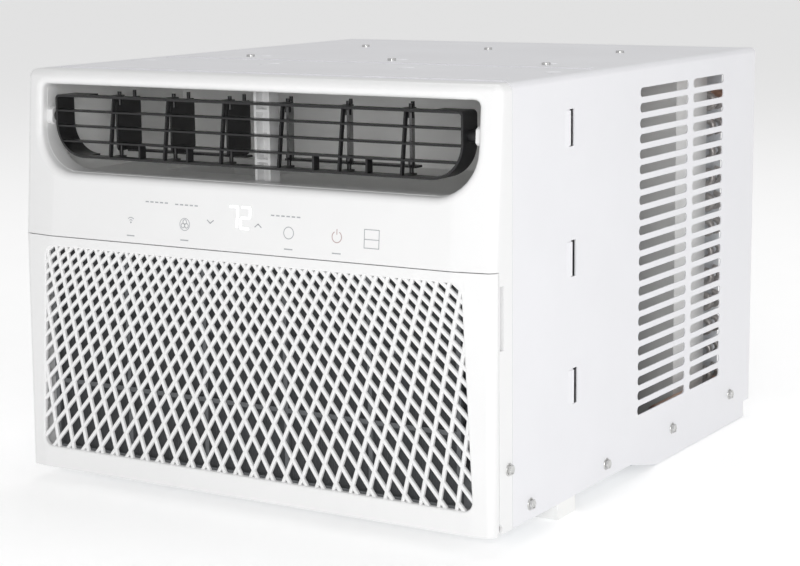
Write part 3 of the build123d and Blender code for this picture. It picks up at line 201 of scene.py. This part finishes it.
FINISHES = {
    "cabinet_paint": finish("powder_coated_steel", (0.84, 0.84, 0.865), 0.42, mottle=0.012, grain=1100,
                            rise=0.10),
    "galvanised_sheet": finish("galvanised_steel", (0.68, 0.70, 0.72), 0.42, metal=0.35, mottle=0.07,
                               grain=110, pattern="spangle", rise=0.02, rough_range=0.18),
    "panel_plastic": finish("white_front_moulding", (0.87, 0.87, 0.87), 0.36, mottle=0.010, grain=2600,
                            rise=0.08),
    "grille_plastic": finish("white_grille_moulding", (0.865, 0.865, 0.865), 0.38, mottle=0.012,
                             grain=2600, rise=0.08),
    "filter_plastic": finish("grey_filter_frame", (0.10, 0.105, 0.11), 0.5, mottle=0.08, rise=0.15),
    "filter_net": finish("woven_filter_net", (0.035, 0.037, 0.04), 0.75, grain=420, pattern="weave",
                         other=(0.10, 0.105, 0.11), rise=0.8),
    "black_plastic": finish("black_louvre_moulding", (0.012, 0.012, 0.013), 0.34, mottle=0.15,
                            grain=2200, rise=0.10),
    "duct_plastic": finish("pale_duct_moulding", (0.90, 0.90, 0.89), 0.50, mottle=0.02, grain=1800,
                           rise=0.12),
    "foam": finish("closed_cell_foam", (0.03, 0.03, 0.03), 0.9, mottle=0.2, grain=700, rise=0.8),
    "fins": finish("bare_aluminium_fins", (0.76, 0.77, 0.79), 0.42, metal=0.45, mottle=0.04, patch=30,
                   grain=500, rise=0.1, rough_range=0.2),
    "copper": finish("copper_tube", (0.70, 0.45, 0.34), 0.32, metal=1.0, mottle=0.14, patch=40,
                     grain=600, rise=0.10, rough_range=0.25),
    "steel": finish("zinc_plated_steel", (0.62, 0.62, 0.61), 0.28, metal=1.0, mottle=0.08, patch=60,
                    grain=900, rise=0.10, rough_range=0.2),
    "compressor_paint": finish("black_enamel", (0.015, 0.015, 0.016), 0.25, mottle=0.2, grain=500,
                               rise=0.15, coat=0.5),
    "motor_steel": finish("grey_motor_shell", (0.32, 0.33, 0.34), 0.35, metal=0.7, mottle=0.08,
                          grain=600, rise=0.1),
    "rubber": finish("black_rubber", (0.02, 0.02, 0.02), 0.8, mottle=0.2, grain=900, rise=0.3),
    "board": finish("green_circuit_board", (0.01, 0.11, 0.05), 0.35, mottle=0.3, patch=160,
                    grain=900, rise=0.3),
    "fan_plastic": finish("dark_fan_moulding", (0.03, 0.03, 0.033), 0.45, mottle=0.12, grain=1500,
                          rise=0.1),
}
ICON_GREY = finish("printed_icon_grey", (0.40, 0.41, 0.43), 0.45, mottle=0.03, grain=3000, rise=0.03)
ICON_RED = finish("printed_icon_warm_grey", (0.50, 0.38, 0.38), 0.45, mottle=0.03, grain=3000, rise=0.03)
DIGIT_GLOW = finish("lit_digits", (0.95, 0.97, 1.0), 0.5, mottle=0.01, grain=2000, rise=0.02)
digit_shader = DIGIT_GLOW.node_tree.nodes["Principled BSDF"]
digit_shader.inputs["Emission Color"].default_value = (0.95, 0.98, 1.0, 1)
digit_shader.inputs["Emission Strength"].default_value = 1.0


DULL_TUBE = finish("dull_tube_metal", (0.60, 0.57, 0.55), 0.45, metal=0.6, mottle=0.10, patch=40, grain=600,
                   rise=0.10, rough_range=0.2)


def node_slots():
    return {s["node"]: s["material_slot"] for s in frame["record"]["subparts"]}


for node_name, slot_name in node_slots().items():
    cad_node = frame["nodes"][node_name]
    cad_node.data.materials.clear()
    outdoor = node_name == "condenser_bends"
    cad_node.data.materials.append(DULL_TUBE if outdoor else FINISHES[slot_name])


# ---------------------------------------------------------------- how pieces are made
def smooth_by_angle(bm, degrees=32.0):
    limit = math.radians(degrees)
    for face in bm.faces:
        face.smooth = True
    for edge in bm.edges:
        edge.smooth = len(edge.link_faces) == 2 and edge.calc_face_angle(0.0) < limit


def add_piece(name, bm, material, body, stands_for=(), degrees=32.0):
    """Turn a finished bmesh into a piece that rides on a body."""
    smooth_by_angle(bm, degrees)
    mesh = bpy.data.meshes.new(name)
    bm.to_mesh(mesh)
    bm.free()
    mesh.materials.append(material)
    piece = bpy.data.objects.new(name, mesh)
    bpy.context.scene.collection.objects.link(piece)
    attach(piece, body)
    if stands_for:
        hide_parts(*stands_for)
    return piece


def thicken(piece, thickness, offset=-1.0):
    solid = piece.modifiers.new("wall", "SOLIDIFY")
    solid.thickness = thickness
    solid.offset = offset
    solid.use_even_offset = True
    return piece


def soften(piece, width, segments=2, degrees=40.0):
    edges = piece.modifiers.new("soft_edges", "BEVEL")
    edges.width = width
    edges.segments = segments
    edges.limit_method = "ANGLE"
    edges.angle_limit = math.radians(degrees)
    edges.harden_normals = False
    return piece


def box_in(bm, x0, x1, d0, d1, z0, z1):
    """Add a box between two corners and return its vertices."""
    middle = at((x0 + x1) / 2, (d0 + d1) / 2, (z0 + z1) / 2)
    size = Matrix.Diagonal((x1 - x0, d1 - d0, z1 - z0, 1))
    return bmesh.ops.create_cube(bm, size=1.0, matrix=Matrix.Translation(middle) @ size)["verts"]


def rod_in(bm, start, end, radius, sides=16, taper=1.0):
    """Add a capped rod from one point to another."""
    way = end - start
    turn = Vector((0, 0, 1)).rotation_difference(way).to_matrix().to_4x4()
    place = Matrix.Translation((start + end) / 2) @ turn
    return bmesh.ops.create_cone(bm, cap_ends=True, segments=sides, radius1=radius,
                                 radius2=radius * taper, depth=way.length, matrix=place)["verts"]


def outline(half_low, half_top, low, top, r_low, r_top, d=0.0, segments=9):
    """A flat face with rounded corners, facing forward."""
    bm = bmesh.new()
    corners = [at(-half_low, d, low), at(half_low, d, low), at(half_top, d, top), at(-half_top, d, top)]
    verts = [bm.verts.new(p) for p in corners]
    face = bm.faces.new(verts)
    face.normal_update()
    if face.normal.y > 0:
        face.normal_flip()
    for pair, radius in ((verts[:2], r_low), (verts[2:], r_top)):
        bmesh.ops.bevel(bm, geom=pair, offset=radius, offset_type="OFFSET", segments=segments,
                        profile=0.5, affect="VERTICES", material=-1)
    return bm


def cut_away(piece, cutter_bm):
    """Cut a shape out of a piece for good."""
    mesh = bpy.data.meshes.new("cutter")
    bmesh.ops.recalc_face_normals(cutter_bm, faces=cutter_bm.faces)
    cutter_bm.to_mesh(mesh)
    cutter_bm.free()
    cutter = bpy.data.objects.new("cutter", mesh)
    bpy.context.scene.collection.objects.link(cutter)
    cut = piece.modifiers.new("cut", "BOOLEAN")
    cut.operation = "DIFFERENCE"
    cut.solver = "EXACT"
    cut.object = cutter
    bpy.context.view_layer.update()
    graph = bpy.context.evaluated_depsgraph_get()
    result = bpy.data.meshes.new_from_object(piece.evaluated_get(graph))
    piece.modifiers.remove(cut)
    piece.data = result
    bpy.data.objects.remove(cutter)


def prism(flat_bm, d0, d1):
    """Give a flat outline depth, from d0 back to d1."""
    for v in flat_bm.verts:
        v.co.y = FRONT_Y + d0
    new = bmesh.ops.extrude_face_region(flat_bm, geom=list(flat_bm.faces))["geom"]
    moved = [g for g in new if isinstance(g, bmesh.types.BMVert)]
    bmesh.ops.translate(flat_bm, vec=(0, d1 - d0, 0), verts=moved)
    return flat_bm


def rolled_edge(flat_bm, radius, depth, steps=6):
    """Turn an outline into an edge that rolls back into an opening as a quarter round."""
    done_in, done_back = 0.0, 0.0
    face = flat_bm.faces[:][0]
    for i in range(1, steps + 1):
        turn = math.radians(90) * i / steps
        inward, back = radius * math.sin(turn), radius * (1 - math.cos(turn))
        bmesh.ops.inset_region(flat_bm, faces=[face], thickness=inward - done_in,
                               depth=-(back - done_back), use_even_offset=True, use_boundary=True)
        done_in, done_back = inward, back
    bmesh.ops.inset_region(flat_bm, faces=[face], thickness=0.00001, depth=-(depth - radius),
                           use_even_offset=True, use_boundary=True)
    bmesh.ops.delete(flat_bm, geom=[face], context="FACES")
    return flat_bm


def corner_fall(x, z, grille):
    """How far the angled corner of the front lies behind its middle."""
    width = BEVEL_TOP
    if grille:
        width = BEVEL_LOW + (BEVEL_TOP - BEVEL_LOW) * (z - BASE_Z) / GRILLE_HEIGHT
    return max(0.0, abs(x) - (HALF - width)) * BEVEL_FALL


def fall_back(bm, grille, fade=0.020):
    for v in bm.verts:
        d = v.co.y - FRONT_Y
        share = max(0.0, 1.0 - d / fade)
        v.co.y += corner_fall(v.co.x, v.co.z, grille) * share


def lean_back(bm):
    """Shear a shape back with its height above the grille, like the face that it sits in."""
    for v in bm.verts:
        v.co.y += FACE_LEAN * max(0.0, v.co.z - GRILLE_TOP)
    return bm


def cad_copy(node):
    """A merged copy of a CAD node's mesh."""
    bm = bmesh.new()
    bm.from_mesh(frame["nodes"][node].data)
    bmesh.ops.remove_doubles(bm, verts=bm.verts, dist=0.000002)
    return bm


# ---------------------------------------------------------------- fixed front
def outlet_shape(grow, d=0.0):
    return outline(OUTLET_HALF + grow, OUTLET_HALF + grow, OUTLET_LOW - grow, OUTLET_TOP + grow * 0.75,
                   OUTLET_CORNER + grow, OUTLET_TOP_CORNER + grow, d)


def front_panel():
    panel = add_piece("front_panel", cad_copy("front_bezel"), FINISHES["panel_plastic"], "casing",
                      ["front_bezel"])
    cut_away(panel, lean_back(prism(outlet_shape(LIP), -0.004, LIP_DEPTH - 0.001)))
    lip = rolled_edge(outlet_shape(LIP + 0.0003, 0.00005), LIP, LIP_DEPTH)
    bmesh.ops.subdivide_edges(lip, edges=[e for e in lip.edges if e.calc_length() > 0.1], cuts=40,
                              use_grid_fill=True)
    fall_back(lip, False)
    lean_back(lip)
    piece = add_piece("outlet_lip", lip, FINISHES["panel_plastic"], "casing")
    thicken(piece, 0.0012)
    return panel


# ---------------------------------------------------------------- intake grille
def strut_ends(index, side):
    """Both ends of one strut, where its line meets the edge of the window."""
    apex_x = side * FAN_HALF
    foot_x = (index + 0.5) * STRUT_PITCH
    slope = (foot_x - apex_x) / (PITCH_LEVEL - FAN_HEIGHT)
    margin = 0.001
    z0, z1 = LATTICE_LOW - margin, LATTICE_TOP + margin
    lean = (LATTICE_HALF_TOP - LATTICE_HALF_LOW) / (LATTICE_TOP - LATTICE_LOW)
    for edge in (1, -1):
        # the side of the window is x = edge * (half_low + lean * (z - low))
        a = slope - edge * lean
        b = edge * (LATTICE_HALF_LOW + margin - lean * LATTICE_LOW) - (apex_x - slope * FAN_HEIGHT)
        if abs(a) < 1e-6:
            continue
        z_cross = b / a
        inside_above = (a * (z_cross + 0.01) - b) * edge < 0
        if inside_above:
            z0 = max(z0, z_cross)
        else:
            z1 = min(z1, z_cross)
    if z1 - z0 < 0.003:
        return None
    return [(apex_x + slope * (z - FAN_HEIGHT), z) for z in (z0, z1)]


def strut_template():
    """One strut a metre long, standing up, with its front edges rounded."""
    bm = bmesh.new()
    bmesh.ops.create_cube(bm, size=1.0, matrix=Matrix.Diagonal((STRUT, STRUT_DEPTH, 1.0, 1)))
    front = [e for e in bm.edges if abs(e.verts[0].co.z - e.verts[1].co.z) > 0.5
             and e.verts[0].co.y < 0]
    bmesh.ops.bevel(bm, geom=front, offset=0.0011, offset_type="OFFSET", segments=3, profile=0.5,
                    affect="EDGES", material=-1)
    mesh = bpy.data.meshes.new("strut_template")
    bm.to_mesh(mesh)
    bm.free()
    return mesh


def repeat(bm, template, places):
    """Add one copy of a template mesh at each place."""
    for place in places:
        first = len(bm.verts)
        bm.from_mesh(template)
        bm.verts.ensure_lookup_table()
        bmesh.ops.transform(bm, matrix=place, verts=bm.verts[first:])


def lattice():
    bm = bmesh.new()
    places = []
    for side in (1, -1):
        depth = LATTICE_D + STRUT_DEPTH / 2 + (0.00008 if side > 0 else 0.0)
        for index in range(-80, 80):
            ends = strut_ends(index, side)
            if ends is None:
                continue
            (xa, za), (xb, zb) = ends
            length = math.hypot(xb - xa, zb - za)
            lean = math.atan2(xb - xa, zb - za)
            place = Matrix.Translation(at((xa + xb) / 2, depth, (za + zb) / 2))
            places.append(place @ Matrix.Rotation(lean, 4, "Y") @ Matrix.Diagonal((1, 1, length, 1)))
    repeat(bm, strut_template(), places)
    return add_piece("grille_lattice", bm, FINISHES["grille_plastic"], "intake_grille_body",
                     degrees=50)


def window_shape(grow, d=0.0):
    return outline(LATTICE_HALF_LOW + grow, LATTICE_HALF_TOP + grow, LATTICE_LOW - grow,
                   LATTICE_TOP + grow, LATTICE_CORNER + grow, LATTICE_CORNER + grow, d)


def grille():
    panel = add_piece("grille_panel", cad_copy("intake_grille"), FINISHES["grille_plastic"],
                      "intake_grille_body", ["intake_grille"])
    cut_away(panel, prism(window_shape(WINDOW_LIP), -0.004, 0.008))
    edge = rolled_edge(window_shape(WINDOW_LIP + 0.0002, 0.00003), WINDOW_LIP, 0.0046, steps=4)
    bmesh.ops.subdivide_edges(edge, edges=[e for e in edge.edges if e.calc_length() > 0.1], cuts=60,
                              use_grid_fill=True)
    fall_back(edge, True)
    piece = add_piece("grille_window_edge", edge, FINISHES["grille_plastic"], "intake_grille_body")
    thicken(piece, 0.0010)
    lattice()


def filter_net():
    """The net: fine upright threads on a dark woven backing."""
    lo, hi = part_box("filter_mesh")
    bm = bmesh.new()
    d0, d1 = lo.y - FRONT_Y, hi.y - FRONT_Y
    box_in(bm, lo.x, hi.x, d0 + 0.0003, d1, lo.z, hi.z)
    count = int((hi.x - lo.x) / THREAD_PITCH)
    for i in range(count):
        x = lo.x + (i + 0.5) * THREAD_PITCH
        box_in(bm, x, x + THREAD_WIDTH, d0, d0 + 0.0005, lo.z, hi.z)
    for i in range(CROSS_THREADS):
        z = lo.z + (i + 0.5) * (hi.z - lo.z) / CROSS_THREADS
        box_in(bm, lo.x, hi.x, d0 + 0.0001, d0 + 0.0005, z, z + 0.0004)
    add_piece("woven_filter", bm, FINISHES["filter_net"], "intake_grille_body",
              ["filter_mesh"])


# ---------------------------------------------------------------- coils
def finned_coil(name, node):
    """Thin upright fins on level tubes, with a dark block inside as painted shade between the fins, so that
    nothing shows through.
    """
    lo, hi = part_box(node)
    d0, d1 = lo.y - FRONT_Y, hi.y - FRONT_Y
    bm = bmesh.new()
    # painted shade: a dark grey block fills the coil's depth behind the fin edges
    shade_core = bmesh.new()
    box_in(shade_core, lo.x + 0.002, hi.x - 0.002, d0 + SHADE_CORE_INSET, d1 - SHADE_CORE_INSET, lo.z + 0.003, hi.z - 0.003)
    count = int((hi.x - lo.x) / COIL_PITCH)
    for i in range(count + 1):
        x = lo.x + i * (hi.x - lo.x - FIN_THICK) / count
        jog = random.uniform(-FIN_JOG, FIN_JOG)
        box_in(bm, x, x + FIN_THICK, d0 + abs(jog), d1 - abs(jog), lo.z, hi.z)
    tubes = bmesh.new()
    rows = int((hi.z - lo.z - 0.020) // TUBE_STEP)
    for row in TUBE_ROWS:
        for i in range(rows + 1):
            z = lo.z + 0.016 + i * TUBE_STEP
            if z < hi.z - 0.006:
                d = d0 + (d1 - d0) * row
                rod_in(tubes, at(lo.x, d, z), at(hi.x, d, z), TUBE_RADIUS, 12)
    # painted shade: the dark grey block stands in for the shade between the fins
    add_piece(f"{name}_core", shade_core, FINISHES["motor_steel"], "casing")
    add_piece(f"{name}_tubes", tubes, FINISHES["copper"], "casing")
    add_piece(f"{name}_fins", bm, FINISHES["fins"], "casing", [node])


# ---------------------------------------------------------------- printed marks and digits
class Marks:
    """Flat printed shapes on the control band."""

    def __init__(self):
        self.bm = bmesh.new()

    def place(self, x, z, turn=0.0):
        upright = Matrix.Rotation(math.radians(90), 4, "X")
        return Matrix.Translation(at(x, -PRINT_RISE, z)) @ Matrix.Rotation(turn, 4, "Y") @ upright

    def bar(self, x, z, width, height, turn=0.0):
        size = Matrix.Diagonal((width, height, 1, 1))
        bmesh.ops.create_grid(self.bm, x_segments=1, y_segments=1, size=0.5,
                              matrix=self.place(x, z, turn) @ size)

    def dot(self, x, z, radius):
        bmesh.ops.create_circle(self.bm, cap_ends=True, segments=20, radius=radius,
                                matrix=self.place(x, z))

    def arc(self, x, z, radius, width, start=0.0, sweep=360.0):
        a = math.radians(start)
        ends = [self.bm.verts.new(at(x + r * math.cos(a), -PRINT_RISE, z + r * math.sin(a)))
                for r in (radius - width / 2, radius + width / 2)]
        edge = self.bm.edges.new(ends)
        bmesh.ops.spin(self.bm, geom=[edge, *ends], cent=at(x, -PRINT_RISE, z), axis=(0, -1, 0),
                       angle=math.radians(sweep), steps=28, use_merge=sweep >= 360)

    def done(self, name, material):
        bmesh.ops.recalc_face_normals(self.bm, faces=self.bm.faces)
        piece = add_piece(name, lean_back(self.bm), material, "casing")
        thicken(piece, PRINT_THICK, 0.0)


def control_marks():
    line = PRINT_LINE
    z = ICON_Z
    grey = Marks()
    for radius in (0.0022, 0.0042):
        grey.arc(-0.1155, z - 0.002, radius, line, 45, 90)
    grey.dot(-0.1155, z - 0.002, 0.0008)
    for k in range(3):
        a = math.radians(90 + 120 * k)
        grey.arc(-0.057 + 0.0022 * math.cos(a), z + 0.0022 * math.sin(a), 0.0019, line)
    grey.arc(-0.057, z, 0.0052, line * 0.8)
    for x, way in ((-0.030, -1), (0.0195, 1)):
        for side in (1, -1):
            grey.bar(x + side * 0.0016, z + 0.004, 0.0048, line * 1.3, side * way * math.radians(38))
    grey.arc(0.0505, z, 0.0049, line)
    for x in (0.1245, 0.1385):
        grey.bar(x, z + 0.0005, line, 0.0150)
    for dz in (-0.0070, 0.0, 0.0080):
        grey.bar(0.1315, z + dz, 0.0147, line)
    for x0, z0, count in ((-0.098, 0.017, 5), (-0.066, 0.0165, 5), (0.034, 0.0135, 6)):
        for i in range(count):
            grey.bar(x0 + i * 0.0052, z + z0, 0.0034, 0.0011)
    for x0 in (-0.1155, -0.057, 0.0505, 0.098):
        grey.bar(x0, z - 0.0135, 0.0085, 0.0010)
    grey.done("printed_icons", ICON_GREY)
    warm = Marks()
    warm.arc(0.098, z, 0.0046, line * 1.1, 120, 300)
    warm.bar(0.098, z + 0.0042, line * 1.1, 0.0046)
    warm.done("power_icon", ICON_RED)


def lit_digits():
    """Two seven-segment digits behind the band."""
    shown = {"7": "abc", "2": "abged"}
    marks = Marks()
    w, h, t = 0.0088, 0.0178, 0.0018
    z = DIGIT_Z
    for x, digit in ((-0.0063, "7"), (0.0063, "2")):
        lean = 0.0006
        spots = {"a": (x + lean, z + h, w, t), "g": (x, z + h / 2, w, t), "d": (x - lean, z, w, t),
                 "b": (x + w / 2 + lean / 2, z + 0.75 * h, t, h / 2 - t / 2),
                 "c": (x + w / 2 - lean / 2, z + 0.25 * h, t, h / 2 - t / 2),
                 "e": (x - w / 2 - lean / 2, z + 0.25 * h, t, h / 2 - t / 2),
                 "f": (x - w / 2 + lean / 2, z + 0.75 * h, t, h / 2 - t / 2)}
        for key in shown[digit]:
            sx, sz, sw, sh = spots[key]
            marks.bar(sx, sz, sw, sh)
    marks.done("display_digits", DIGIT_GLOW)


# ---------------------------------------------------------------- fasteners and sheet details
def side_fasteners():
    """Hex screws with a washer face and a shallow dish in the head."""
    places = [(0.030, 0.051)] + [(SEAM + d, z) for d, z in
                                 ((0.031, 0.013), (0.175, 0.013), (0.318, 0.014), (0.459, 0.018))]
    bm = bmesh.new()
    for d, z in places:
        for side in (1, -1):
            height = BASE_Z + z
            rod_in(bm, at(side * (HALF - 0.006), d, height), at(side * HALF, d, height), SCREW_SHANK, 16)
            rod_in(bm, at(side * (HALF - 0.0001), d, height), at(side * (HALF + 0.0009), d, height),
                   SCREW_WASHER, 28, 0.93)
            before = set(bm.faces)
            rod_in(bm, at(side * (HALF + 0.0007), d, height), at(side * (HALF + 0.0033), d, height),
                   SCREW_HEX, 6, 0.97)
            new = (f for f in bm.faces if f not in before)
            cap = max(new, key=lambda f: side * f.calc_center_median().x)
            bmesh.ops.inset_region(bm, faces=[cap], thickness=0.0009, depth=0.0)
            bmesh.ops.inset_region(bm, faces=[cap], thickness=0.0006, depth=-0.0005)
    bmesh.ops.recalc_face_normals(bm, faces=bm.faces)
    piece = add_piece("hex_screws", bm, FINISHES["steel"], "casing",
                      ["side_screws", "bezel_screws"])
    soften(piece, 0.00025)


def top_embossings():
    """Low stamped ovals in the top sheet beside its holes."""
    bm = bmesh.new()
    spots = [(x, SEAM + 0.122) for x in (-0.22125, -0.07375, 0.07375, 0.22125)]
    spots += [(x, SEAM + 0.216) for x in (-0.152, 0.008, 0.168)]
    for x, d in spots:
        place = Matrix.Translation(at(x * 0.97, d, TOP_Z)) @ Matrix.Diagonal((0.0085, 0.0042, 0.0009, 1))
        bmesh.ops.create_uvsphere(bm, u_segments=24, v_segments=10, radius=1.0, matrix=place)
    add_piece("stamped_ovals", bm, FINISHES["cabinet_paint"], "casing")


front_panel()
grille()
filter_net()
finned_coil("outdoor_coil", "condenser_coil")
finned_coil("indoor_coil", "evaporator_coil")
control_marks()
lit_digits()
side_fasteners()
top_embossings()


# ---------------------------------------------------------------- studio
def studio():
    world = bpy.data.worlds.new("pale_studio")
    world.use_nodes = True
    world.node_tree.nodes["Background"].inputs["Color"].default_value = (1, 1, 1, 1)
    world.node_tree.nodes["Background"].inputs["Strength"].default_value = 0.48
    bpy.context.scene.world = world
    bm = bmesh.new()
    bmesh.ops.create_grid(bm, x_segments=1, y_segments=1, size=40.0)
    mesh = bpy.data.meshes.new("floor")
    bm.to_mesh(mesh)
    bm.free()
    pale = finish("pale_floor", (0.90, 0.90, 0.90), 0.6, mottle=0.004, grain=60, rise=0.02)
    glow = pale.node_tree.nodes["Principled BSDF"]
    glow.inputs["Emission Color"].default_value = (1, 1, 1, 1)
    glow.inputs["Emission Strength"].default_value = 0.32
    mesh.materials.append(pale)
    floor = bpy.data.objects.new("floor", mesh)
    bpy.context.scene.collection.objects.link(floor)
    lamps = (("front_softbox", (-1.6, -2.6, 1.7), 2.2, 4.0), ("side_softbox", (2.9, -0.3, 1.3), 2.2, 13.0),
             ("top_softbox", (-0.3, 1.0, 3.0), 2.0, 24.0), ("fill_softbox", (1.02, -1.72, 0.54), 0.6, 10.5))
    for name, spot, size, power in lamps:
        data = bpy.data.lights.new(name, "AREA")
        data.shape = "SQUARE"
        data.size = size
        data.energy = power
        lamp = bpy.data.objects.new(name, data)
        bpy.context.scene.collection.objects.link(lamp)
        lamp.location = spot
        aim = Vector((0, 0, 0.18)) - Vector(spot)
        lamp.rotation_euler = aim.to_track_quat("-Z", "Y").to_euler()


def camera():
    """Long lens, right of the front and a little above."""
    data = bpy.data.cameras.new("camera")
    data.sensor_fit = "HORIZONTAL"
    data.sensor_width = 36.0
    data.lens = 89.83
    data.clip_end = 200.0
    yaw, down, roll = math.radians(31.486), math.radians(9.953), math.radians(-0.611)
    ahead = Vector((-math.sin(yaw) * math.cos(down), math.cos(yaw) * math.cos(down), -math.sin(down)))
    right = Vector((math.cos(yaw), math.sin(yaw), 0))
    up = right.cross(ahead)
    right, up = (right * math.cos(roll) + up * math.sin(roll), up * math.cos(roll) - right * math.sin(roll))
    turn = Matrix((right, up, -ahead)).transposed().to_4x4()
    eye = bpy.data.objects.new("camera", data)
    bpy.context.scene.collection.objects.link(eye)
    eye.matrix_world = Matrix.Translation((0.9803, -1.6147, 0.4913)) @ turn
    bpy.context.scene.camera = eye


studio()
camera()
bpy.context.scene.view_settings.view_transform = "Standard"
